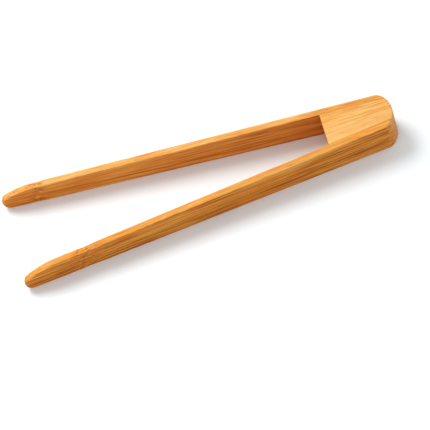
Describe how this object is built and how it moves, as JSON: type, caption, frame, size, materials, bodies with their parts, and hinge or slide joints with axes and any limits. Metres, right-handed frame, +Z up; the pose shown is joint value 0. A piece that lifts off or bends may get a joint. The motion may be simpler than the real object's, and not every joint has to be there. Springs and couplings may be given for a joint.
{
  "type": "kitchen tongs",
  "caption": "Bamboo kitchen tongs: two springy strip arms glued to a wedge block, tapering in height towards rounded tips that are squeezed together to grip.",
  "frame": {"origin": "middle of the base that the tongs lie on, halfway between the head's end and the tips", "axes": "+X towards the head, -X towards the tips, +Z up from the surface, left arm on -Y and right arm on +Y"},
  "size_m": [0.24, 0.0626, 0.024],
  "materials": {
    "arm_bamboo": "sanded, oiled bamboo with fine lengthwise fibres",
    "wedge_bamboo": "sanded, oiled bamboo with fine lengthwise fibres",
    "glue": "thin hard brown glue line"
  },
  "bodies": {
    "head": {"left_wedge": "wedge_bamboo", "right_wedge": "wedge_bamboo", "left_glue_line": "glue", "right_glue_line": "glue", "middle_glue_line": "glue", "left_arm_root": "arm_bamboo", "right_arm_root": "arm_bamboo"},
    "left_arm": {"left_arm_blade": "arm_bamboo"},
    "right_arm": {"right_arm_blade": "arm_bamboo"}
  },
  "joints": [
    {"name": "left_arm_flex", "type": "hinge", "parent": "head", "child": "left_arm", "pos_m": [0.0525, -0.01499, 0], "axis": [0, 0, -1], "range_deg": [-3, 9], "stiffness_Nm_per_rad": 17.6},
    {"name": "right_arm_flex", "type": "hinge", "parent": "head", "child": "right_arm", "pos_m": [0.0525, 0.01499, 0], "axis": [0, 0, 1], "range_deg": [-3, 9], "stiffness_Nm_per_rad": 17.6}
  ]
}
